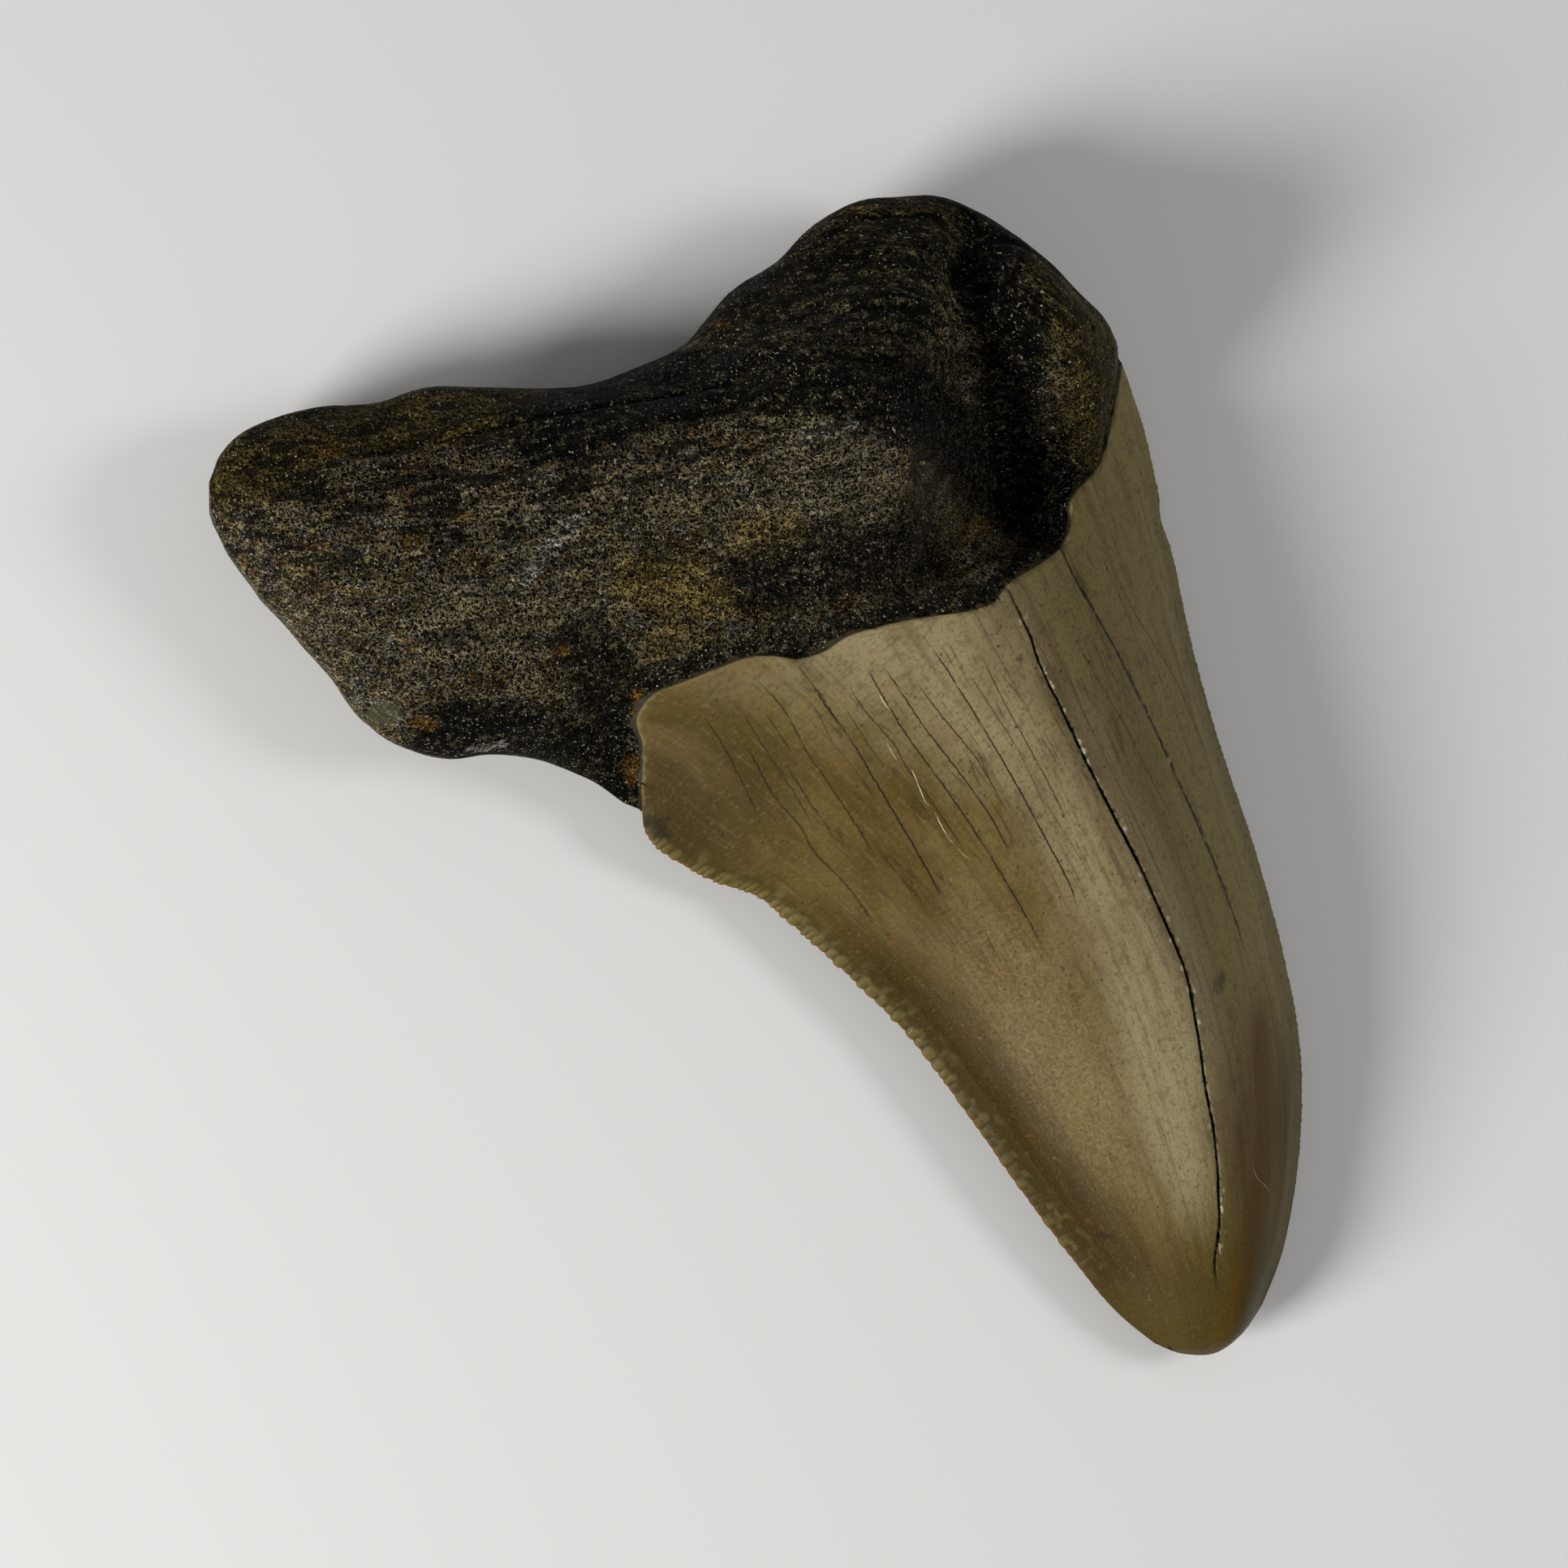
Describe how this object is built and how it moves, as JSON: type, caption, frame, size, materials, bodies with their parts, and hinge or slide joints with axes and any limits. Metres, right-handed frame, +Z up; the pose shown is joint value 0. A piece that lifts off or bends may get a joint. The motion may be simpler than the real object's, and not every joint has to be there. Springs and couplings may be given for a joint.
{
  "type": "fossil megalodon tooth",
  "caption": "Fossil shark tooth in one piece: serrated triangular enamel crown and a thick two-lobed root, lying flat.",
  "frame": {"origin": "middle of the tooth's bounding box in X and Y, on the surface that it lies on", "axes": "+X across the tooth towards its convex cutting edge, +Y from the tip towards the root, +Z up, out of the bulging lingual face"},
  "size_m": [0.0822, 0.1068, 0.0215],
  "materials": {
    "fossil": "polished tan-grey enamel over a granular black-brown root"
  },
  "bodies": {
    "root": {"tooth": "fossil"}
  },
  "joints": []
}
